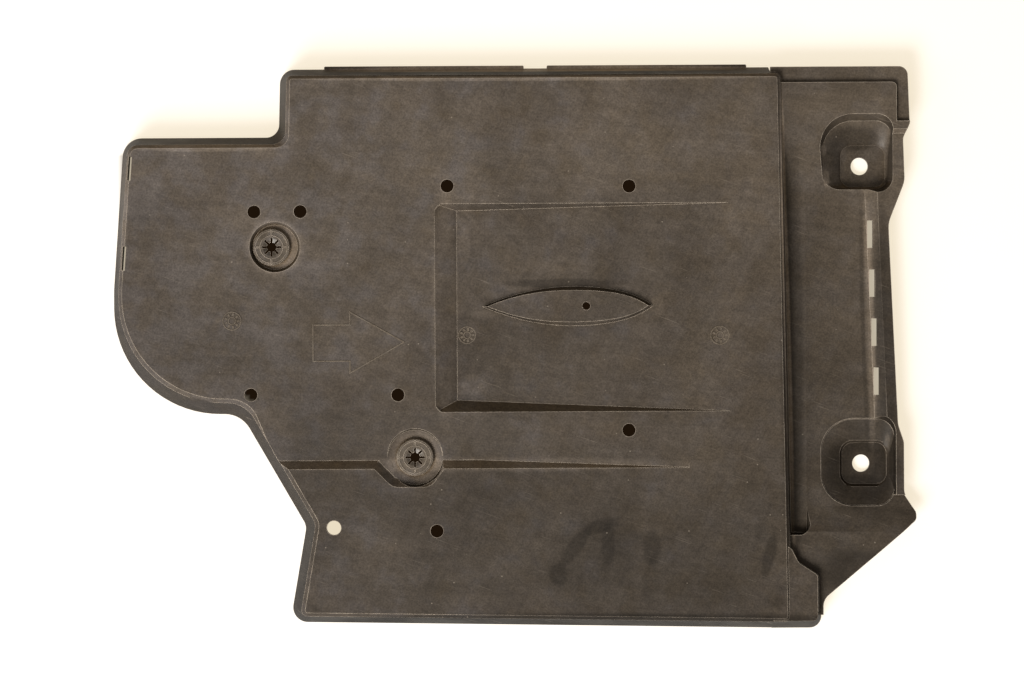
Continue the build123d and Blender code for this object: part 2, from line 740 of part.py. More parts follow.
with BuildPart() as panel:
    add(skin.part)
    for start in (lip_front - LIP_LENGTH, lip_front - 2 * LIP_LENGTH - LIP_GAP):
        lip = rectangle(start, start + LIP_LENGTH, lip_y, PANEL_WIDTH / 2)
        add(prism(0, lip, [LIP_REACH / 2, LIP_REACH / 2, 0, 0], WALL))
    add(hollow.part, mode=Mode.SUBTRACT)
    with Locations(*[(bolt_x, bolt_y, PLATE_HEIGHT) for bolt_y in (outer_bolt, inner_bolt)]):
        Hole(BOLT_HOLE_RADIUS)
    with Locations(*[(*from_plate(place), PLATE_HEIGHT) for place in DRAIN_HOLES]):
        Hole(DRAIN_RADIUS)
    with Locations((*from_plate(MOUNT_HOLE), PLATE_HEIGHT)):
        Hole(MOUNT_HOLE_RADIUS)
    with Locations((island_tail + ISLAND_HOLE_FROM_TAIL, island_middle, PLATE_HEIGHT + ISLAND_HEIGHT)):
        Hole(ISLAND_HOLE_RADIUS)
    with Locations(*[(*from_plate(place), PLATE_HEIGHT) for place in (REAR_SEAT, INNER_SEAT)]):
        Hole(SEAT_HOLE_RADIUS)
    for from_outer in REAR_SLOTS:
        slot_y = plate_outer - from_outer
        slot_x = plate_rear + (slot_y - rear_straight) * rear_slope + REAR_SLOT_INSET
        turn = -math.degrees(math.atan(rear_slope))
        with Locations(Location((slot_x, slot_y, PLATE_HEIGHT), (0, 0, turn))):
            Box(REAR_SLOT_WIDTH, REAR_SLOT_LENGTH, PLATE_HEIGHT, mode=Mode.SUBTRACT)
    row_middle = (outer_bolt + inner_bolt) / 2 + RIM_SLOT_SHIFT
    for i in range(RIM_SLOT_COUNT):
        slot_y = row_middle + ((RIM_SLOT_COUNT - 1) / 2 - i) * RIM_SLOT_SPACING
        wall_foot = front_tip - RIM_WALL_FOOT + (outer_bolt - slot_y) * RIM_WALL_LEAN / BOLT_SPACING
        with Locations((wall_foot + RIM_SLOT_INSET, slot_y, channel)):
            Box(RIM_SLOT_WIDTH, RIM_SLOT_LENGTH, PLATE_HEIGHT, mode=Mode.SUBTRACT)

panel.part.label = "panel"


def stud_clip(x, y, seat_floor):
    """A push-on stud clip: a flange on the seat, a tube through its hole, a barb and a ring of fingers."""
    barb_top = seat_floor - WALL - CLIP_PLAY
    clip_top = seat_floor + CLIP_THICKNESS
    dish_floor = clip_top - CLIP_DISH_DEPTH
    with BuildPart() as clip:
        with BuildSketch(Plane.XZ.offset(-y)):
            with BuildLine():
                Polyline(
                    (x + CLIP_BORE_RADIUS, dish_floor),
                    (x + CLIP_TUBE_RADIUS, clip_top),
                    (x + CLIP_RADIUS - CLIP_CHAMFER, clip_top),
                    (x + CLIP_RADIUS, clip_top - CLIP_CHAMFER),
                    (x + CLIP_RADIUS, seat_floor),
                    (x + CLIP_NECK_RADIUS, seat_floor),
                    (x + CLIP_NECK_RADIUS, barb_top),
                    (x + CLIP_BARB_RADIUS, barb_top),
                    (x + CLIP_NECK_RADIUS, barb_top - CLIP_BARB_HEIGHT),
                    (x + CLIP_TUBE_RADIUS, barb_top - CLIP_BARB_HEIGHT),
                    (x + CLIP_TUBE_RADIUS, clip_top - CLIP_FINGER_THICKNESS),
                    (x + CLIP_BORE_RADIUS, dish_floor - CLIP_FINGER_THICKNESS),
                    close=True,
                )
            make_face()
        revolve(axis=Axis((x, y, 0), (0, 0, 1)))
        with Locations((x, y, clip_top)):
            with PolarLocations(0, CLIP_SLIT_COUNT):
                Box(
                    CLIP_TUBE_RADIUS,
                    CLIP_SLIT_WIDTH,
                    2 * (CLIP_DISH_DEPTH + CLIP_FINGER_THICKNESS),
                    align=(Align.MIN, Align.CENTER, Align.CENTER),
                    mode=Mode.SUBTRACT,
                )
    return clip


rear_x, rear_y = from_plate(REAR_SEAT)
rear_stud_clip = stud_clip(rear_x - REAR_CLIP_DRIFT, rear_y, PLATE_HEIGHT - REAR_SEAT_RINGS[0][0])
rear_stud_clip.part.label = "rear_stud_clip"
inner_stud_clip = stud_clip(*from_plate(INNER_SEAT), PLATE_HEIGHT - INNER_SEAT_RINGS[0][0])
inner_stud_clip.part.label = "inner_stud_clip"

os.makedirs("parts", exist_ok=True)
for piece in (panel, rear_stud_clip, inner_stud_clip):
    export_step(piece.part, f"parts/{piece.part.label}.step")
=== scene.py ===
"""Looks of the underbody panel: worn, dusty moulded plastic on a lit white table, seen from above.

The CAD frame gives every shape and size. This script shows each CAD node as a smooth copy, adds the thin
raised lines that the moulds leave, dresses the pieces, and sets up the table, the lights and the camera.
Sizes and places are in millimetres, and the meshes that they end up in are in metres.
"""

from __future__ import annotations

import logging
import math
from dataclasses import dataclass
from enum import Enum

import bpy
import numpy as np
from mathutils.bvhtree import BVHTree
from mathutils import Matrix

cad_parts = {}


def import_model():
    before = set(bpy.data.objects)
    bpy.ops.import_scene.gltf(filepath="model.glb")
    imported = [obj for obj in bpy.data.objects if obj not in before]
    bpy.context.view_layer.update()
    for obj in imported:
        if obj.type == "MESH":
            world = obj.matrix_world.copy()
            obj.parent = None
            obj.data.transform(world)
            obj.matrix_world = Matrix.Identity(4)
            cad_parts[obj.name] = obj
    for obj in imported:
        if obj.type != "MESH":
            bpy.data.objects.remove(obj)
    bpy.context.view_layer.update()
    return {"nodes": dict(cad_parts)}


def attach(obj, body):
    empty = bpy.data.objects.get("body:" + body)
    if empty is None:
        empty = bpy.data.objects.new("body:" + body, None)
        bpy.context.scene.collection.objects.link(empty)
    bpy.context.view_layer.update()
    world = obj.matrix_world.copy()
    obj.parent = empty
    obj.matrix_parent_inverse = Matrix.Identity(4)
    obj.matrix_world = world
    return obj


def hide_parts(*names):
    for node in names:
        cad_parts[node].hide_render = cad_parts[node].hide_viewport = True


LOG = logging.getLogger("underbody_panel")
MM = 0.001
BODY = "root"

Points = np.ndarray
Grid = tuple[Points, Points]
Place = tuple[float, float]
Colour = tuple[float, float, float, float]
Node = bpy.types.Node
Socket = bpy.types.NodeSocket
Value = Node | Socket | float

# Colour sockets of a Mix node: the two colours and the result
MIX_FIRST = 6
MIX_SECOND = 7
MIX_RESULT = 2

# How a CAD mesh is made smooth
JOIN_STEP = 0.002  # vertices closer than this are one
SHARP_TURN = 28.0  # a larger turn in degrees is an edge
FLAT_WIDTH = 3.0  # wider triangles than this are flat faces
FLAT_TURN = 0.6  # two flat faces that turn more than this meet in an edge
LEAST_AREA = 1e-18  # keeps the normal of a triangle without area finite

# Raised lines
LINE_TOP = 0.6  # the top's share of the line's width
LINE_SUNK = 0.1  # how deep the line's foot is in its face
CIRCLE_CORNERS = 56
RAY_HEIGHT = 1.0  # metres above the table, where a ray down to a face starts


class Finish(Enum):
    """The finishes that pieces can take, each named for its material and how that is made."""

    PANEL = "moulded polypropylene, dusty"
    CLIP = "moulded nylon, handled"
    MARK = "moulded polypropylene, rubbed mark"


@dataclass(frozen=True)
class PlasticFinish:
    """Colours and sizes of a worn, dusty plastic.

    Args:
        base: colour of the plastic under an even film of dust.
        warm: colour of the brown dust.
        cool: colour of the washed, bluish places.
        wear: colour of rubbed edges and scratches.
        shade_tint: filter colour of the painted shade in corners and on outer walls.
        roughness: roughness of the dusty surface.
        shine: specular level, low where dust covers the plastic.
        cloud_mm: size of the dust clouds.
        grain_mm: size of the moulded grain, drawn coarser than real grain, which is too fine to show.
        edge_mm: width of the rubbed edges.
    """

    base: str
    warm: str
    cool: str
    wear: str
    shade_tint: str
    roughness: float
    shine: float
    cloud_mm: float
    grain_mm: float
    edge_mm: float


FINISHES: dict[Finish, PlasticFinish] = {
    # Grained polypropylene under road dust: flat brownish grey, hardly a highlight, light rubbed edges
    Finish.PANEL: PlasticFinish(
        base="#514941",
        warm="#544a3e",
        cool="#504b49",
        wear="#a09486",
        shade_tint="#d0bd98",
        roughness=0.6,
        shine=0.1,
        cloud_mm=38.0,
        grain_mm=1.1,
        edge_mm=0.6,
    ),
    # Smooth nylon that hands wipe: a shade darker and browner, with soft highlights on its lines
    Finish.CLIP: PlasticFinish(
        base="#4c4338",
        warm="#504537",
        cool="#4a4440",
        wear="#9a8e80",
        shade_tint="#d0bd98",
        roughness=0.45,
        shine=0.4,
        cloud_mm=18.0,
        grain_mm=0.8,
        edge_mm=0.45,
    ),
    # Polypropylene on the top of a raised line, which wiping reaches first: a shade lighter than the panel
    Finish.MARK: PlasticFinish(
        base="#5a5147",
        warm="#5e5446",
        cool="#58524c",
        wear="#7c7266",
        shade_tint="#d0bd98",
        roughness=0.6,
        shine=0.1,
        cloud_mm=12.0,
        grain_mm=0.8,
        edge_mm=0.3,
    ),
}


@dataclass(frozen=True)
class Patch:
    """A soft oval place that is lighter, darker or glossier than the rest.

    Args:
        middle: its middle.
        reach: half its length and half its width, along x and y before it is turned.
        tone: factor on the colour in its middle.
        gloss: how much of the roughness it loses in its middle.
        rub: how much of the rubbed edges stays in its middle.
        turn: how far it is turned, in degrees.
    """

    middle: Place
    reach: Place
    tone: float
    gloss: float = 0.0
    rub: float = 1.0
    turn: float = 0.0


# Broad places of the plate that are lighter or darker
PLATE_PATCHES: tuple[Patch, ...] = (
    Patch((45.0, 24.0), (115.0, 80.0), 0.83),
    Patch((50.0, -122.0), (34.0, 28.0), 0.88),
    Patch((118.0, -126.0), (42.0, 36.0), 0.84),
    Patch((20.0, -112.0), (90.0, 48.0), 0.86),
    Patch((30.0, -152.0), (130.0, 18.0), 0.9),
    Patch((147.9, 121.6), (13.0, 36.0), 1.12),
    Patch((131.0, 72.0), (7.0, 26.0), 1.1),
    Patch((-50.0, -135.0), (60.0, 30.0), 1.1),
    Patch((-60.0, 25.0), (22.0, 80.0), 1.05),
    Patch((-188.0, 80.0), (34.0, 24.0), 1.08),
    Patch((-20.0, 125.0), (150.0, 40.0), 1.02),
)
# Dark drips that dried on the inner half of the plate
DRIP_STAINS: tuple[Patch, ...] = (
    Patch((26.1, -136.0), (7.0, 8.5), 0.64),
    Patch((36.0, -120.0), (17.0, 5.5), 0.68, turn=53.0),
    Patch((51.0, -107.5), (14.0, 5.0), 0.64, turn=18.0),
    Patch((56.0, -119.0), (5.0, 16.0), 0.74),
    Patch((82.5, -121.0), (6.5, 12.0), 0.66),
    Patch((82.0, -142.0), (6.5, 18.0), 0.86),
    Patch((153.0, -125.0), (17.0, 4.5), 0.62, turn=76.0),
    Patch((147.9, -110.0), (5.0, 9.0), 0.84),
    Patch((159.0, -151.0), (4.0, 9.0), 0.84),
)
# The recess: painted light on its rear wall, a painted shadow beside the island, light scuffs and the rubbed
# rings
RECESS_PATCHES: tuple[Patch, ...] = (
    # painted light on the rear wall
    Patch((-41.0, 24.0), (9.0, 84.0), 1.48),
    Patch((-29.5, 61.0), (4.5, 14.0), 1.25),
    Patch((-24.0, -22.0), (10.0, 7.0), 1.25),
    # painted shadow beside the island
    Patch((30.0, 38.5), (42.0, 3.6), 0.6),
    Patch((32.0, 50.0), (20.0, 6.0), 1.1),
    Patch((-18.0, 20.0), (10.0, 3.0), 1.25),
    Patch((86.0, 25.0), (5.0, 7.0), 1.2),
    Patch((-27.9, 7.7), (6.0, 6.0), 1.15),
    Patch((123.9, 6.9), (6.0, 6.0), 1.2),
)
# The front strip: shelf, a painted shadow in the channel, painted light on the shaded foot of the step and on
# the rim's wall, the rim's crest, and the tab
FRONT_STRIP_PATCHES: tuple[Patch, ...] = (
    Patch((195.0, 20.0), (24.0, 120.0), 0.9),
    Patch((200.0, 144.0), (40.0, 14.0), 1.2),
    # painted shadow in the channel beside the step
    Patch((168.0, -5.0), (9.0, 150.0), 0.6),
    Patch((176.0, -20.0), (6.0, 120.0), 0.95, rub=0.15),
    # painted light on the shaded foot of the step
    Patch((164.8, 15.0), (150.0, 3.0), 5.0, turn=-88.6),
    # painted light on the rim's wall, with a darker band before it that keeps its edge sharp
    Patch((212.0, 10.0), (90.0, 2.6), 0.75, turn=-88.4),
    Patch((215.2, 10.0), (90.0, 3.4), 1.8, turn=-88.4),
    Patch((222.0, 10.0), (4.0, 90.0), 0.9, rub=0.15),
    Patch((224.5, 10.0), (95.0, 8.5), 0.56, turn=-88.4),
    Patch((203.0, -104.0), (24.0, 10.0), 0.9),
    Patch((196.0, -124.0), (12.0, 12.0), 0.86),
    Patch((215.0, -137.0), (40.0, 18.0), 0.56),
)
# The bolt pockets, darker and glossier than the rest, with painted highlights
POCKET_PATCHES: tuple[Patch, ...] = (
    Patch((211.5, 112.0), (24.0, 26.0), 0.92, gloss=0.5, rub=0.3),
    Patch((206.0, 125.0), (19.0, 9.0), 0.62),
    Patch((194.0, 110.0), (8.0, 15.0), 0.75),
    Patch((211.0, 96.5), (16.0, 5.0), 1.25),
    # painted highlights on the pocket's wall
    Patch((187.6, 118.0), (2.5, 4.0), 1.8),
    Patch((189.5, 101.0), (2.5, 6.0), 1.8),
    Patch((210.0, -76.0), (30.0, 28.0), 0.46, gloss=0.5),
    Patch((210.3, -71.2), (10.0, 10.0), 1.25),
    Patch((210.3, -71.2), (19.0, 19.0), 1.0, rub=0.15),
    Patch((210.0, -81.0), (13.0, 4.0), 0.72),
    Patch((208.0, -48.0), (16.0, 7.0), 0.75),
    # a painted glint on the other pocket's wall
    Patch((226.0, -60.0), (2.0, 9.0), 1.8),
)
# Lips and walls along the edges: painted shade on the inner lip, painted light and shade on the shaded outer
# wall, and painted light on the rear walls
EDGE_PATCHES: tuple[Patch, ...] = (
    # painted shade on the inner lip, which faces the key lamp
    Patch((30.0, -165.0), (220.0, 6.5), 0.4, rub=0.4),
    # the shaded outer wall: painted light near its foot, a light line on the plate's edge and painted shade
    # between
    Patch((15.0, 168.9), (150.0, 3.0), 4.8),
    Patch((15.0, 161.8), (150.0, 2.2), 1.8),
    Patch((15.0, 164.8), (150.0, 2.6), 0.45),
    # painted light on the rear wall and on the rear lobe's outer wall
    Patch((-236.5, 85.0), (6.5, 45.0), 1.5),
    Patch((-183.0, 121.0), (55.0, 3.0), 1.6),
)
# The groove and the stud seats: painted light that lifts the shade on the groove's wall and in the seats
SEAT_PATCHES: tuple[Patch, ...] = (
    Patch((-25.0, -70.0), (150.0, 5.0), 1.45),
    Patch((-143.0, 61.1), (19.0, 19.0), 2.3),
    Patch((-59.5, -65.6), (19.0, 19.0), 2.15),
)
# The clips' bores: painted shade that darkens the star round each stud's hole, and a little gloss
CLIP_PATCHES: tuple[Patch, ...] = (
    Patch((-145.0, 61.1), (6.0, 6.0), 0.55, gloss=0.4),
    Patch((-59.5, -65.6), (6.0, 6.0), 0.55, gloss=0.4),
)
PATCHES: dict[Finish, tuple[Patch, ...]] = {
    Finish.PANEL: (
        *PLATE_PATCHES,
        *DRIP_STAINS,
        *RECESS_PATCHES,
        *FRONT_STRIP_PATCHES,
        *POCKET_PATCHES,
        *EDGE_PATCHES,
        *SEAT_PATCHES,
    ),
    Finish.CLIP: CLIP_PATCHES,
    Finish.MARK: (),
}


@dataclass(frozen=True)
class Fade:
    """A smooth change from one level to another while a value crosses a range.

    Args:
        low: value where the change starts.
        high: value where it ends.
        start: level before it.
        end: level after it.
    """

    low: float
    high: float
    start: float = 0.0
    end: float = 1.0


@dataclass(frozen=True)
class Streaks:
    """Marks that are drawn out along one direction.

    Args:
        angle: their direction in degrees.
        length: length of one.
        width: width of one.
        strength: how much they change the tone, or how much of them shows.
    """

    angle: float
    length: float
    width: float
    strength: float


@dataclass(frozen=True)
class Speckle:
    """A pattern of soft, irregular specks: noise whose waves are as long as a speck.

    Args:
        size: size of a speck.
        detail: how many finer waves are added.
        roughness: how strong the finer waves are.
    """

    size: float
    detail: float
    roughness: float


WIPED = (Streaks(6.0, 32.0, 3.0, 0.08), Streaks(38.0, 26.0, 2.6, 0.06), Streaks(-62.0, 26.0, 2.4, 0.06))
SCRATCHED = Streaks(20.0, 24.0, 0.5, 0.2)

# Values that the clouds and the finer noise mostly stay between
CLOUD_RANGE = (0.3, 0.7)
NOISE_RANGE = (0.25, 0.75)

# Tone of the dust film, with painted shade that follows the way a face turns
CLOUD_TONE = Fade(*CLOUD_RANGE, 0.84, 1.16)
MOTTLE_SPREAD = 0.13
GRAIN_SPREAD = 0.28
INNER_SIDE_TONE = Fade(-130.0 * MM, 120.0 * MM, 0.62, 1.0)  # darker towards the inner side
# painted shade: faces that turn towards the inner side, where the key lamp stands, are a little darker
LAMP_SIDE_SHADE = Fade(-0.12, 0.0, 0.93, 1.0)
# painted shade on walls that face the outer side: lighter here, under the brown tint of the painted shade
OUTER_WALL_SHADE_LIFT = Fade(0.25, 0.6, 1.0, 1.25)
STEEP_WALL_TONE = Fade(0.38, 0.72, 0.45, 1.0)  # steep walls are darker
PATCH_EDGE = Fade(0.45, 1.15, 1.0, 0.0)

# Drift of the dust between brown and bluish
DRIFT_ALONG = 0.6  # how much browner each metre towards the front is
WASHED_SHARE = Fade(0.5, 0.72, 0.0, 0.6)
BROWN_SHARE = Fade(0.5, 0.3, 0.0, 0.6)

# Painted shade in corners and on outer walls, scratches, specks and rubbed edges
CORNER_REACH = 9.0
CORNER_SAMPLES = 6
CORNER_SHADE = Fade(0.3, 0.92)
OUTER_WALL_SHADE = Fade(0.25, 0.6, 1.0, 0.25)
SCRATCH_SHARE = Fade(0.68, 0.78, 0.0, SCRATCHED.strength)
SPECK_SPACING = 7.0
SPECK_SHARE = Fade(0.035, 0.075, 0.4, 0.0)
SPECK_PICK = 0.75  # cells whose random value is above this hold a speck
EDGE_SAMPLES = 4
EDGE_SHARE = Fade(0.002, 0.045)
EDGE_BREAKS = Fade(0.3, 0.62, 0.4, 1.0)

# Surface
ROUGHNESS_SPREAD = 0.1
GRAIN_DEPTH = 0.12
GRAIN_STRENGTH = 0.3


def hex_to_linear(code: str) -> Colour:
    """Turns an sRGB hex colour into linear values: a straight foot, then a power of 2.4.

    Args:
        code: colour such as "#3f3933".

    Returns:
        Linear red, green and blue, and an alpha of one.
    """
    srgb = np.array([int(code[i : i + 2], 16) for i in (1, 3, 5)]) / 255.0
    linear = np.where(srgb <= 0.04045, srgb / 12.92, ((srgb + 0.055) / 1.055) ** 2.4)
    return float(linear[0]), float(linear[1]), float(linear[2]), 1.0


class Graph:
    """The nodes of one material."""

    def __init__(self, name: str) -> None:
        """Starts an empty material.

        Args:
            name: the material's name.
        """
        self.material = bpy.data.materials.new(name)
        self.material.use_nodes = True
        self.tree = self.material.node_tree
        self.tree.nodes.clear()

    def add(self, kind: str, inputs: dict | None = None, **settings: object) -> Node:
        """Adds one node with its settings and links.

        Args:
            kind: Blender's name for the node's type.
            inputs: values, sockets or nodes by input name or number; a node stands for its first output.
            settings: properties of the node.

        Returns:
            The new node.
        """
        node = self.tree.nodes.new(kind)
        for name, value in settings.items():
            setattr(node, name, value)
        for key, value in (inputs or {}).items():
            source = value.outputs[0] if isinstance(value, Node) else value
            if isinstance(source, Socket):
                self.tree.links.new(source, node.inputs[key])
            else:
                node.inputs[key].default_value = source
        return node

    def product(self, layers: list[tuple[Value, Fade]]) -> Node:
        """Fades each layer's value by its own smooth step, and multiplies the results.

        Args:
            layers: values, each with its fade.

        Returns:
            The node that gives the product.
        """
        result = None
        for value, fade in layers:
            span = {"From Min": fade.low, "From Max": fade.high, "To Min": fade.start, "To Max": fade.end}
            factor = self.add("ShaderNodeMapRange", {"Value": value, **span}, interpolation_type="SMOOTHSTEP")
            if result is not None:
                factor = self.add("ShaderNodeMath", {0: result, 1: factor}, operation="MULTIPLY")
            result = factor
        return result

    def overlaid(self, ground: Socket | Colour, covers: list[tuple[Value, str]]) -> Socket:
        """Lays colours over a ground, one after the other: each covers the share that its mask gives.

        Args:
            ground: the colour below.
            covers: masks, each with its hex colour.

        Returns:
            The colour that is seen.
        """
        for mask, code in covers:
            inputs = {0: mask, MIX_FIRST: ground, MIX_SECOND: hex_to_linear(code)}
            ground = self.add("ShaderNodeMix", inputs, data_type="RGBA").outputs[MIX_RESULT]
        return ground


class PlasticShader:
    """Makes the worn, dusty plastic of one finish."""

    def __init__(self, finish: Finish) -> None:
        """Starts the material with the patterns that several layers share.

        Args:
            finish: the finish to make.
        """
        self.finish = finish
        self.look = FINISHES[finish]
        self.graph = Graph(finish.value)
        self.place = self.graph.add("ShaderNodeTexCoord").outputs["Object"]
        self.along = self.graph.add("ShaderNodeSeparateXYZ", {0: self.place}).outputs
        self.normal = self.graph.add("ShaderNodeNewGeometry").outputs["Normal"]
        self.facing = self.graph.add("ShaderNodeSeparateXYZ", {0: self.normal}).outputs
        speckles = {
            "clouds": Speckle(self.look.cloud_mm, 4.0, 0.55),
            "drift": Speckle(self.look.cloud_mm / 2, 3.0, 0.6),
            "mottle": Speckle(self.look.cloud_mm / 5, 6.0, 0.72),
            "grain": Speckle(self.look.grain_mm, 3.0, 0.75),
        }
        self.specks: dict[str, Node] = {}
        for name, speckle in speckles.items():
            waves = {"Detail": speckle.detail, "Roughness": speckle.roughness}
            inputs = {"Vector": self.place, "Scale": 1.0 / (speckle.size * MM), **waves}
            self.specks[name] = self.graph.add("ShaderNodeTexNoise", inputs)
        self.masks = [(self._oval(patch), patch) for patch in PATCHES[finish]]

    def build(self) -> bpy.types.Material:
        """Scales the dust's colour by the tone, multiplies in the painted shade, then lays scratches and
        rubbed edges over it.

        Returns:
            The material.
        """
        graph = self.graph
        film = graph.add("ShaderNodeVectorMath", {0: self._dust(), "Scale": self._tone()}, operation="SCALE")
        worn = [(self._scratches(), self.look.wear), (self._rubbed_edges(), self.look.wear)]
        bump = {"Strength": GRAIN_STRENGTH, "Distance": GRAIN_DEPTH * MM, "Height": self.specks["grain"]}
        inputs = {
            "Base Color": graph.overlaid(self._painted_shade(film), worn),
            "Roughness": self._roughness(),
            "Normal": graph.add("ShaderNodeBump", bump),
            "Specular IOR Level": self.look.shine,
        }
        shader = graph.add("ShaderNodeBsdfPrincipled", inputs)
        graph.add("ShaderNodeOutputMaterial", {"Surface": shader})
        return graph.material

    def _drawn_out(self, streaks: Streaks) -> Node:
        """A pattern of streaks: noise on turned coordinates, divided by a streak's length and width.

        Args:
            streaks: their direction and size.

        Returns:
            The pattern's value.
        """
        turn = (0.0, 0.0, math.radians(streaks.angle))
        turned = self.graph.add("ShaderNodeMapping", {"Vector": self.place, "Rotation": turn})
        scale = tuple(1.0 / (size * MM) for size in (streaks.length, streaks.width, streaks.length))
        drawn = self.graph.add("ShaderNodeMapping", {"Vector": turned, "Scale": scale})
        return self.graph.add("ShaderNodeTexNoise", {"Vector": drawn, "Scale": 1.0, "Detail": 2.0})

    def _oval(self, patch: Patch) -> Node:
        """A soft mask: the distance from a patch's middle in shares of its reach, faded from one to nought.

        Args:
            patch: the patch.

        Returns:
            The mask.
        """
        inputs = {
            "Vector": self.place,
            "Location": (patch.middle[0] * MM, patch.middle[1] * MM, 0.0),
            "Rotation": (0.0, 0.0, math.radians(patch.turn)),
            "Scale": (patch.reach[0] * MM, patch.reach[1] * MM, 1.0),
        }
        own = self.graph.add("ShaderNodeMapping", inputs, vector_type="TEXTURE")
        distance = self.graph.add("ShaderNodeVectorMath", {0: own}, operation="LENGTH").outputs["Value"]
        return self.graph.product([(distance, PATCH_EDGE)])

    def _dust(self) -> Socket:
        """Colour of the dust film, which drifts between bluish and brown and is browner towards the front.

        Returns:
            The colour.
        """
        graph = self.graph
        lean = graph.add("ShaderNodeMath", {0: self.along["X"], 1: DRIFT_ALONG}, operation="MULTIPLY")
        drift = graph.add("ShaderNodeMath", {0: self.specks["drift"], 1: lean}, operation="SUBTRACT")
        washed = graph.product([(drift, WASHED_SHARE)])
        brown = graph.product([(drift, BROWN_SHARE)])
        covers = [(washed, self.look.cool), (brown, self.look.warm)]
        return graph.overlaid(hex_to_linear(self.look.base), covers)

    def _tone(self) -> Node:
        """Lightness of the film: the product of clouds, grain, streaks, patches and the way a wall faces;
        some patches and facing terms are painted light and shade.

        Returns:
            The factor on the dust's colour.
        """
        spreads = [(self.specks["mottle"], MOTTLE_SPREAD), (self.specks["grain"], GRAIN_SPREAD)]
        spreads += [(self._drawn_out(streaks), streaks.strength) for streaks in WIPED]
        layers = [(self.specks["clouds"], CLOUD_TONE)]
        layers += [(value, Fade(*NOISE_RANGE, 1.0 - spread, 1.0 + spread)) for value, spread in spreads]
        if self.finish is Finish.PANEL:
            layers.append((self.along["Y"], INNER_SIDE_TONE))
        layers += [(mask, Fade(0.0, 1.0, 1.0, patch.tone)) for mask, patch in self.masks]
        layers.append((self.facing["Y"], LAMP_SIDE_SHADE))
        layers.append((self.facing["Y"], OUTER_WALL_SHADE_LIFT))
        layers.append((self.facing["Z"], STEEP_WALL_TONE))
        return self.graph.product(layers)

    def _roughness(self) -> Node:
        """Roughness, which follows the clouds and is lower in glossy patches.

        Returns:
            The roughness.
        """
        least, most = self.look.roughness - ROUGHNESS_SPREAD, self.look.roughness + ROUGHNESS_SPREAD
        layers = [(self.specks["clouds"], Fade(*CLOUD_RANGE, least, most))]
        glossy = [(mask, patch) for mask, patch in self.masks if patch.gloss]
        layers += [(mask, Fade(0.0, 1.0, 1.0, 1.0 - patch.gloss)) for mask, patch in glossy]
        return self.graph.product(layers)

    def _painted_shade(self, film: Node) -> Socket:
        """Paints a brown shade on the film in corners, under ledges and on outer walls: the colour times the
        shade's tint.

        Args:
            film: the dust's colour.

        Returns:
            The colour with its painted shade.
        """
        graph = self.graph
        # painted shade: where occlusion finds a corner, or a wall faces the outer side, the colour takes a
        # brown tint
        reach = {"Distance": CORNER_REACH * MM}
        open_share = graph.add("ShaderNodeAmbientOcclusion", reach, samples=CORNER_SAMPLES)
        layers = [(open_share.outputs["AO"], CORNER_SHADE), (self.facing["Y"], OUTER_WALL_SHADE)]
        shade_tint = graph.overlaid(hex_to_linear(self.look.shade_tint), [(graph.product(layers), "#ffffff")])
        return graph.add("ShaderNodeVectorMath", {0: film, 1: shade_tint}, operation="MULTIPLY").outputs[0]

    def _scratches(self) -> Node:
        """Mask of scratches and specks, the larger of the two: a speck is a dot in some random cells.

        Returns:
            The mask.
        """
        graph = self.graph
        scratches = graph.product([(self._drawn_out(SCRATCHED), SCRATCH_SHARE)])
        cells = graph.add("ShaderNodeTexVoronoi", {"Vector": self.place, "Scale": 1.0 / (SPECK_SPACING * MM)})
        dots = graph.product([(cells.outputs["Distance"], SPECK_SHARE)])
        chance = graph.add("ShaderNodeSeparateColor", {0: cells.outputs["Color"]})
        picked = graph.add("ShaderNodeMath", {0: chance, 1: SPECK_PICK}, operation="GREATER_THAN")
        specks = graph.add("ShaderNodeMath", {0: dots, 1: picked}, operation="MULTIPLY")
        return graph.add("ShaderNodeMath", {0: scratches, 1: specks}, operation="MAXIMUM")

    def _rubbed_edges(self) -> Node:
        """Mask of the edges that are rubbed light: where a rounded normal leaves the face's own, with breaks.

        Returns:
            The mask.
        """
        graph = self.graph
        rounded = graph.add("ShaderNodeBevel", {"Radius": self.look.edge_mm * MM}, samples=EDGE_SAMPLES)
        kept = graph.add("ShaderNodeVectorMath", {0: rounded, 1: self.normal}, operation="DOT_PRODUCT")
        lost = graph.add("ShaderNodeMath", {0: 1.0, 1: kept.outputs["Value"]}, operation="SUBTRACT")
        layers = [(lost, EDGE_SHARE)]
        layers += [(mask, Fade(0.0, 1.0, 1.0, patch.rub)) for mask, patch in self.masks if patch.rub < 1.0]
        layers.append((self.specks["mottle"], EDGE_BREAKS))
        return graph.product(layers)


def new_piece(name: str, points: Points, faces: Points) -> bpy.types.Object:
    """Makes a mesh object at the origin.

    Args:
        name: the object's name.
        points: vertices in metres, one row each.
        faces: vertex numbers, one row for each face.

    Returns:
        The object, linked to the scene.
    """
    mesh = bpy.data.meshes.new(name)
    mesh.from_pydata(points, [], faces)
    mesh.validate()
    piece = bpy.data.objects.new(name, mesh)
    bpy.context.scene.collection.objects.link(piece)
    return piece


def grid_faces(rows: int, columns: int, closed_rows: bool, closed_columns: bool) -> Points:
    """Faces of a grid: each vertex joins the next in its row and the same two in the next row.

    Args:
        rows: number of rows.
        columns: number of vertices in a row.
        closed_rows: the last row joins the first.
        closed_columns: the last column joins the first.

    Returns:
        Four vertex numbers for each face.
    """
    row = np.arange(rows if closed_rows else rows - 1)[:, None]
    column = np.arange(columns if closed_columns else columns - 1)[None, :]
    here = row * columns
    ahead = (row + 1) % rows * columns
    beside = (column + 1) % columns
    corners = (here + column, here + beside, ahead + beside, ahead + column)
    return np.stack(np.broadcast_arrays(*corners), axis=-1).reshape(-1, 4)


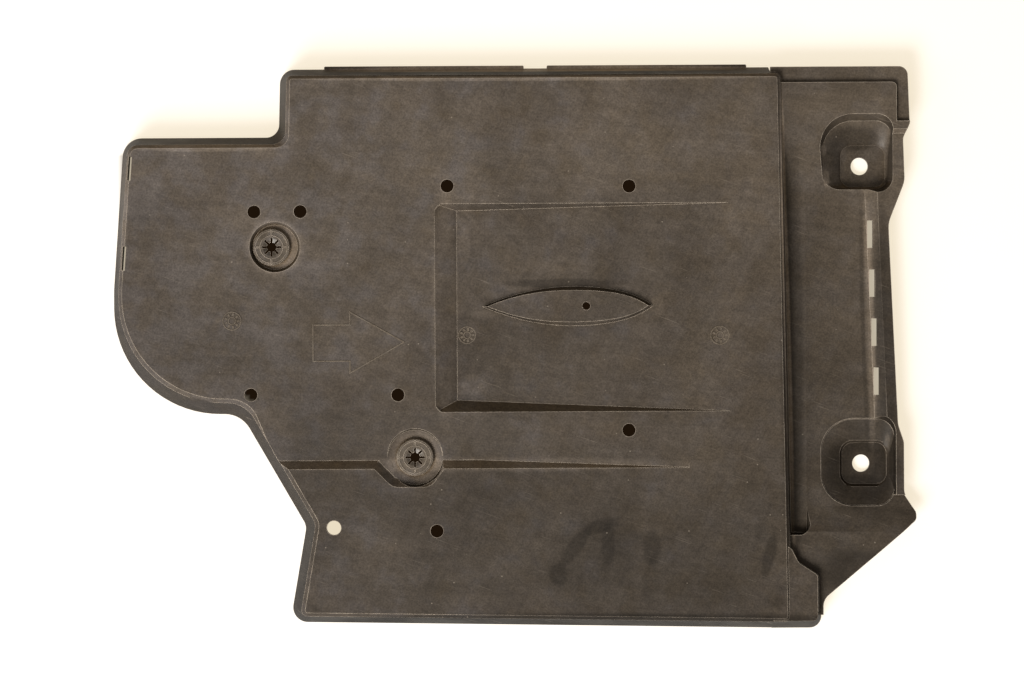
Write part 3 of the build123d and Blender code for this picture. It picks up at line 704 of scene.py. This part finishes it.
def joined_mesh(source: bpy.types.Mesh) -> Grid:
    """Reads a mesh of loose triangles: vertices that round to one step are one, and flattened triangles go.

    Args:
        source: the mesh.

    Returns:
        Vertices in metres, and three vertex numbers for each face.
    """
    points = np.empty(len(source.vertices) * 3)
    source.vertices.foreach_get("co", points)
    points = points.reshape(-1, 3)
    source.calc_loop_triangles()
    corners = np.empty(len(source.loop_triangles) * 3, dtype=np.int64)
    source.loop_triangles.foreach_get("vertices", corners)
    steps = np.round(points / (JOIN_STEP * MM))
    _, first, joined = np.unique(steps, axis=0, return_index=True, return_inverse=True)
    faces = joined.reshape(-1)[corners].reshape(-1, 3)
    whole = (faces != np.roll(faces, 1, axis=1)).all(axis=1)
    return points[first], faces[whole]


def sharp_edges(points: Points, faces: Points) -> Points:
    """Finds the edges where two triangles turn by more than a rounding does, or two flat faces meet.

    A triangle's width is twice its area over its longest side, and the turn is the angle between two normals.

    Args:
        points: vertices in metres.
        faces: three vertex numbers for each face.

    Returns:
        One number for each sharp edge: its lower vertex number times the vertex count plus its higher one.
    """
    sides = points[faces[:, [1, 2, 0]]] - points[faces]
    cross = np.cross(sides[:, 0], sides[:, 1])
    area = np.linalg.norm(cross, axis=1)
    width = area / np.linalg.norm(sides, axis=2).max(axis=1)
    normals = cross / np.maximum(area, LEAST_AREA)[:, None]
    pairs = np.sort(np.stack([faces, faces[:, [1, 2, 0]]], axis=-1), axis=-1).reshape(-1, 2)
    keys = pairs[:, 0] * len(points) + pairs[:, 1]
    owner = np.repeat(np.arange(len(faces)), 3)
    order = np.argsort(keys, kind="stable")
    keys, owner = keys[order], owner[order]
    twin = np.flatnonzero(keys[1:] == keys[:-1])
    one, other = owner[twin], owner[twin + 1]
    turn = np.degrees(np.arccos(np.clip((normals[one] * normals[other]).sum(axis=1), -1.0, 1.0)))
    flat = np.minimum(width[one], width[other]) > FLAT_WIDTH * MM
    return keys[twin][(turn > SHARP_TURN) | (flat & (turn > FLAT_TURN))]


def smooth_copy(node: bpy.types.Object, name: str) -> bpy.types.Object:
    """Copies a CAD node with its vertices joined, flat faces kept flat and roundings shaded smooth.

    Args:
        node: the CAD node.
        name: the copy's name.

    Returns:
        The copy.
    """
    points, faces = joined_mesh(node.data)
    copy = new_piece(name, points, faces)
    mesh = copy.data
    mesh.shade_smooth()
    ends = np.empty(len(mesh.edges) * 2, dtype=np.int64)
    mesh.edges.foreach_get("vertices", ends)
    ends = np.sort(ends.reshape(-1, 2), axis=1)
    sharp = np.isin(ends[:, 0] * len(points) + ends[:, 1], sharp_edges(points, faces))
    mesh.attributes.new("sharp_edge", "BOOLEAN", "EDGE").data.foreach_set("value", sharp)
    weighted = copy.modifiers.new("flat faces stay flat", "WEIGHTED_NORMAL")
    weighted.keep_sharp = True
    return copy


def height_at(surface: BVHTree, x: float, y: float) -> float:
    """Height of a surface's upper side, where a ray from above meets it.

    Args:
        surface: the surface's search tree.
        x: place along the car.
        y: place across the car.

    Returns:
        The height.
    """
    place, _, _, _ = surface.ray_cast((x * MM, y * MM, RAY_HEIGHT), (0.0, 0.0, -1.0))
    return place.z / MM


def raised_line(path: Points, width: float, height: float, base: float) -> Grid:
    """A closed raised line: a section with sloping sides carried round a path and mitred at its corners.

    A mitre is the sum of the two sides' normals over one plus their product.

    Args:
        path: corners of the line, one row each.
        width: width of the line.
        height: how far it stands out.
        base: height of the face it stands on.

    Returns:
        Vertices in metres, and faces.
    """
    ahead = np.roll(path, -1, axis=0) - path
    ahead /= np.linalg.norm(ahead, axis=1)[:, None]
    side = np.stack([-ahead[:, 1], ahead[:, 0]], axis=1)
    behind = np.roll(side, 1, axis=0)
    mitre = (side + behind) / (1.0 + (side * behind).sum(axis=1))[:, None]
    foot = width / 2
    top = foot * LINE_TOP
    sections = [(foot, -LINE_SUNK), (top, height), (-top, height), (-foot, -LINE_SUNK)]
    rows = [np.column_stack([path + mitre * out, np.full(len(path), base + rise)]) for out, rise in sections]
    points = np.stack(rows, axis=1).reshape(-1, 3) * MM
    return points, grid_faces(len(path), len(sections), True, True)


def circle(x: float, y: float, radius: float) -> Points:
    """Corners of a clockwise circle: the radius times the cosine and minus the sine of even turns.

    Args:
        x: its middle along the car.
        y: its middle across the car.
        radius: its radius.

    Returns:
        The corners, one row each.
    """
    turn = np.linspace(0.0, 2.0 * math.pi, CIRCLE_CORNERS, endpoint=False)
    return np.stack([x + radius * np.cos(turn), y - radius * np.sin(turn)], axis=1)


def bar(x: float, y: float, turn: float, start: float, end: float, width: float) -> Points:
    """Corners of a short clockwise bar that points away from a middle.

    Args:
        x: the middle along the car.
        y: the middle across the car.
        turn: the bar's direction in radians.
        start: distance from the middle to its near end.
        end: distance from the middle to its far end.
        width: its width.

    Returns:
        The four corners, one row each.
    """
    along = np.array([math.cos(turn), math.sin(turn)])
    side = np.array([-along[1], along[0]]) * width / 2
    near, far = along * start, along * end
    return np.array([x, y]) + np.stack([near + side, far + side, far - side, near - side])


def spokes(x: float, y: float, count: int, start: float, end: float, width: float) -> list[Points]:
    """Bars that point away from a middle at even turns.

    Args:
        x: the middle along the car.
        y: the middle across the car.
        count: number of bars.
        start: distance from the middle to a bar's near end.
        end: distance from the middle to its far end.
        width: width of a bar.

    Returns:
        The corners of each bar.
    """
    turns = np.arange(count) * 2.0 * math.pi / count
    return [bar(x, y, turn, start, end, width) for turn in turns]


def joined_parts(name: str, parts: list[Grid]) -> bpy.types.Object:
    """Makes one object of several grids: each one's faces count on from the vertices before it.

    Args:
        name: the object's name.
        parts: vertices in metres and faces of each grid.

    Returns:
        The object.
    """
    counts = np.cumsum([0] + [len(points) for points, _ in parts[:-1]])
    points = np.concatenate([points for points, _ in parts])
    faces = np.concatenate([faces + count for (_, faces), count in zip(parts, counts)])
    return new_piece(name, points, faces)


@dataclass
class PanelShell:
    """The moulded panel itself, as a smooth copy of its CAD node.

    Args:
        node: the CAD node.
        material: its finish.
    """

    node: bpy.types.Object
    material: bpy.types.Material

    def build(self) -> list[bpy.types.Object]:
        """Makes the copy and lets it stand for the node.

        Returns:
            The pieces made.
        """
        shell = smooth_copy(self.node, "panel_shell")
        shell.data.materials.append(self.material)
        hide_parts("panel")
        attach(shell, BODY)
        return [shell]


@dataclass
class StudClip:
    """One floating stud clip: a smooth copy of its CAD node, with the raised lines on its flange.

    Args:
        node: the CAD node.
        name: the node's name.
        material: its finish.
        ring_radii: radii of the two round lines.
        ticks: number of short lines across the outer ring.
        tick_start: distance from the clip's middle to a short line's near end.
        tick_end: distance from the clip's middle to its far end.
        line_width: width of a line.
        line_height: how far a line stands out.
    """

    node: bpy.types.Object
    name: str
    material: bpy.types.Material
    ring_radii: tuple[float, ...] = (9.6, 6.9)
    ticks: int = 4
    tick_start: float = 7.6
    tick_end: float = 10.2
    line_width: float = 0.7
    line_height: float = 0.22

    def build(self) -> list[bpy.types.Object]:
        """Makes the copy and its lines and lets the copy stand for the node.

        Returns:
            The pieces made.
        """
        body = smooth_copy(self.node, f"{self.name}_body")
        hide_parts(self.name)
        pieces = [body, self._lines()]
        for piece in pieces:
            piece.data.materials.append(self.material)
            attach(piece, BODY)
        return pieces

    def _lines(self) -> bpy.types.Object:
        """Makes the raised lines round the middle of the node's box, on its top.

        Returns:
            The lines as one piece.
        """
        corners = np.array([tuple(corner) for corner in self.node.bound_box]) / MM
        x, y, _ = (corners.min(axis=0) + corners.max(axis=0)) / 2
        top = corners[:, 2].max()
        paths = [circle(x, y, radius) for radius in self.ring_radii]
        paths += spokes(x, y, self.ticks, self.tick_start, self.tick_end, self.line_width)
        parts = [raised_line(path, self.line_width, self.line_height, top) for path in paths]
        return joined_parts(f"{self.name}_lines", parts)


@dataclass
class MouldMarks:
    """Plain marks that the mould leaves on the plate: a direction arrow and bare date rings.

    Args:
        panel: the panel's CAD node, which the marks stand on.
        material: their finish.
        line_width: width of the arrow's line.
        line_height: how far the lines stand out.
        ring_line: a ring's line, as a share of the arrow's.
        ring_core: the inner ring's share of a ring's radius.
        ring_ticks: number of short lines in a ring.
        tick_start: where a short line starts, as a share of the radius.
        tick_end: where it ends.
        tick_width: width of its path.
        rings: middle and radius of each ring.
        arrow: corners of the arrow's outline, clockwise from its tail.
    """

    panel: bpy.types.Object
    material: bpy.types.Material
    line_width: float = 1.0
    line_height: float = 0.25
    ring_line: float = 0.8
    ring_core: float = 0.4
    ring_ticks: int = 9
    tick_start: float = 0.58
    tick_end: float = 0.8
    tick_width: float = 0.5
    rings: tuple[tuple[float, float, float], ...] = (
        (-168.8, 16.9, 5.4),
        (-27.9, 7.7, 5.0),
        (123.9, 6.9, 5.4),
    )
    arrow: tuple[Place, ...] = (
        (-120.2, 14.2),
        (-98.1, 14.2),
        (-98.1, 21.9),
        (-65.7, 3.7),
        (-98.1, -14.7),
        (-98.1, -7.5),
        (-120.2, -7.5),
    )

    def build(self) -> list[bpy.types.Object]:
        """Makes the marks as one piece.

        Returns:
            The pieces made.
        """
        points, faces = joined_mesh(self.panel.data)
        surface = BVHTree.FromPolygons(points.tolist(), faces.tolist())
        plate = height_at(surface, *self.arrow[0])
        parts = [raised_line(np.array(self.arrow), self.line_width, self.line_height, plate)]
        for x, y, radius in self.rings:
            base = height_at(surface, x, y)
            paths = [circle(x, y, radius * share) for share in (1.0, self.ring_core)]
            start, end = radius * self.tick_start, radius * self.tick_end
            paths += spokes(x, y, self.ring_ticks, start, end, self.tick_width)
            width = self.line_width * self.ring_line
            parts += [raised_line(path, width, self.line_height, base) for path in paths]
        marks = joined_parts("mould_marks", parts)
        marks.data.materials.append(self.material)
        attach(marks, BODY)
        return [marks]


@dataclass(frozen=True)
class Lamp:
    """A soft square lamp that points at the panel.

    Args:
        name: its name.
        place: its place in metres.
        size: its side in metres.
        watts: its power.
    """

    name: str
    place: tuple[float, float, float]
    size: float
    watts: float


@dataclass(frozen=True)
class PaintedShade:
    """A part of the table painted in half shade, where the panel's edge keeps some light from it.

    Args:
        rear: its rear end.
        front: its front end.
        inner: its inner side.
        outer: its outer side.
        share: the share of the painted glow that is left.
    """

    rear: float
    front: float
    inner: float
    outer: float
    share: float


@dataclass
class Studio:
    """The lit white table, the lights and the camera.

    Args:
        camera_place: the camera's place in metres.
        camera_turn: how far the picture is turned, in degrees.
        lens: focal length.
        sensor: width of the sensor.
        lamps: the lamps.
        lamp_colour: linear colour of the lamps.
        sky: strength of the room's even light.
        sky_colour: linear colour of the room's light.
        fade: how far the edge of the covered part is softened.
        fine_half: half the side of the table's fine grid, in metres.
        fine_step: step of the fine grid, in metres.
        far: further lines of the grid, in metres.
        covered: corners of the part of the table that the panel covers, where the table is painted dark.
        shaded: parts of the table in painted half shade.
    """

    camera_place: tuple[float, float, float] = (-0.0009, 0.0040, 1.6)
    camera_turn: float = -0.3
    lens: float = 92.6
    sensor: float = 36.0
    lamps: tuple[Lamp, ...] = (
        Lamp("key", (-0.96, -1.66, 1.61), 1.2, 100.0),
        Lamp("side", (-2.0, -0.3, 0.9), 0.9, 14.0),
    )
    lamp_colour: tuple[float, float, float] = (1.0, 0.97, 0.92)
    sky: float = 0.36
    sky_colour: Colour = (1.0, 0.97, 0.93, 1.0)
    fade: float = 3.0
    fine_half: float = 0.3
    fine_step: float = 0.0025
    far: tuple[float, ...] = (1.0, 3.0)
    covered: tuple[Place, ...] = (
        (-222.0, 114.0),
        (-128.0, 114.0),
        (-126.0, 158.0),
        (150.0, 154.0),
        (190.0, 140.0),
        (196.0, -84.0),
        (160.0, -126.0),
        (148.0, -150.0),
        (-97.0, -150.0),
        (-99.0, -94.0),
        (-125.0, -92.0),
        (-164.0, -34.0),
        (-172.5, -22.5),
        (-191.0, -19.0),
        (-211.0, -6.0),
        (-224.0, 14.0),
        (-226.0, 40.0),
    )
    shaded: tuple[PaintedShade, ...] = (
        PaintedShade(196.0, 224.0, -48.0, 90.0, 0.6),
        PaintedShade(-238.0, -222.0, 40.0, 118.0, 0.6),
    )

    def build(self) -> list[bpy.types.Object]:
        """Makes the table, the lights and the camera.

        Returns:
            What was made.
        """
        table = self._table()
        lamps = [self._lit(lamp) for lamp in self.lamps]
        self._room_light()
        return [table, *lamps, self._camera()]

    def _table(self) -> bpy.types.Object:
        """Makes the table as a flat grid, fine under the panel, with a painted glow where the panel leaves it
        open and painted shade under it.

        Returns:
            The table.
        """
        near = np.arange(-self.fine_half, self.fine_half + self.fine_step / 2, self.fine_step)
        far = np.array(self.far)
        line = np.concatenate([-far[::-1], near, far])
        x, y = np.meshgrid(line, line)
        points = np.stack([x, y, np.zeros_like(x)], axis=-1).reshape(-1, 3)
        table = new_piece("table", points, grid_faces(len(line), len(line), False, False))
        painted_glow = table.data.attributes.new("painted_glow", "FLOAT", "POINT")
        painted_glow.data.foreach_set("value", self._painted_glow(points[:, :2] / MM))
        table.data.materials.append(self._laminate())
        return table

    def _painted_glow(self, places: Points) -> Points:
        """Share of the table's painted glow: one less the mean of nine shifted covers, then the painted half
        shades.

        Args:
            places: places on the table, one row each.

        Returns:
            The share at each place.
        """
        steps = (-self.fade, 0.0, self.fade)
        shifts = [(x, y) for x in steps for y in steps]
        share = 1.0 - np.mean([self._inside(places + shift) for shift in shifts], axis=0)
        for shade in self.shaded:
            along = (places[:, 0] > shade.rear) & (places[:, 0] < shade.front)
            across = (places[:, 1] > shade.inner) & (places[:, 1] < shade.outer)
            share = np.where(along & across, share * shade.share, share)
        return share

    def _inside(self, places: Points) -> Points:
        """Tells which places the panel covers: a line to the right crosses its outline an odd number of
        times.

        Args:
            places: places on the table, one row each.

        Returns:
            One for each covered place and nought for the others.
        """
        corners = np.array(self.covered)
        ends = np.roll(corners, -1, axis=0)
        x, y = places[:, :1], places[:, 1:]
        spans = (corners[:, 1] > y) != (ends[:, 1] > y)
        with np.errstate(divide="ignore", invalid="ignore"):
            share = (y - corners[:, 1]) / (ends[:, 1] - corners[:, 1])
            cut = corners[:, 0] + share * (ends[:, 0] - corners[:, 0])
        return ((spans & (x < cut)).sum(axis=1) % 2).astype(float)

    def _laminate(self) -> bpy.types.Material:
        """Makes the table's finish: white laminate with a painted glow and painted shade.

        Returns:
            The material.
        """
        # White laminate with a painted glow, though no lamp is under it: an even, creamy glow that paints
        # over its shadows, and painted shade, near black, under the panel
        graph = Graph("white laminate with painted glow")
        light = graph.add("ShaderNodeAttribute", attribute_name="painted_glow").outputs["Fac"]
        # near black painted shade under the panel, white laminate where it is open
        colour = graph.overlaid(hex_to_linear("#0a0805"), [(light, "#9a9eaa")])
        # painted glow: dark brown under the panel, creamy where it is open
        shine = graph.overlaid(hex_to_linear("#1d130a"), [(light, "#e9dcc2")])
        diffuse = graph.add("ShaderNodeBsdfDiffuse", {"Color": colour})
        glow = graph.add("ShaderNodeEmission", {"Color": shine, "Strength": 1.0})
        both = graph.add("ShaderNodeAddShader", {0: diffuse, 1: glow})
        graph.add("ShaderNodeOutputMaterial", {"Surface": both})
        return graph.material

    def _lit(self, lamp: Lamp) -> bpy.types.Object:
        """Makes one soft lamp that points at the panel.

        Args:
            lamp: its place, size and power.

        Returns:
            The lamp.
        """
        data = bpy.data.lights.new(lamp.name, "AREA")
        data.shape = "SQUARE"
        data.size = lamp.size
        data.energy = lamp.watts
        data.color = self.lamp_colour
        light = bpy.data.objects.new(lamp.name, data)
        light.location = lamp.place
        light.rotation_mode = "QUATERNION"
        light.rotation_quaternion = (-light.location).to_track_quat("-Z", "Y")
        bpy.context.scene.collection.objects.link(light)
        return light

    def _room_light(self) -> None:
        """Makes the even light of the room."""
        world = bpy.data.worlds.new("studio")
        world.use_nodes = True
        background = world.node_tree.nodes["Background"]
        background.inputs["Color"].default_value = self.sky_colour
        background.inputs["Strength"].default_value = self.sky
        bpy.context.scene.world = world
        bpy.context.scene.view_settings.view_transform = "Standard"

    def _camera(self) -> bpy.types.Object:
        """Makes the camera, straight above the panel.

        Returns:
            The camera.
        """
        data = bpy.data.cameras.new("camera")
        data.sensor_width = self.sensor
        data.lens = self.lens
        camera = bpy.data.objects.new("camera", data)
        camera.location = self.camera_place
        camera.rotation_euler = (0.0, 0.0, math.radians(self.camera_turn))
        bpy.context.scene.collection.objects.link(camera)
        bpy.context.scene.camera = camera
        return camera


def main() -> None:
    """Builds the looks round the CAD frame."""
    logging.basicConfig(level=logging.INFO)
    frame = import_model()
    materials = {finish: PlasticShader(finish).build() for finish in Finish}
    nodes = frame["nodes"]
    assemblies = (
        PanelShell(nodes["panel"], materials[Finish.PANEL]),
        StudClip(nodes["rear_stud_clip"], "rear_stud_clip", materials[Finish.CLIP]),
        StudClip(nodes["inner_stud_clip"], "inner_stud_clip", materials[Finish.CLIP]),
        MouldMarks(nodes["panel"], materials[Finish.MARK]),
        Studio(),
    )
    for assembly in assemblies:
        for piece in assembly.build():
            LOG.info("built %s", piece.name)


if __name__ == "__main__":
    main()
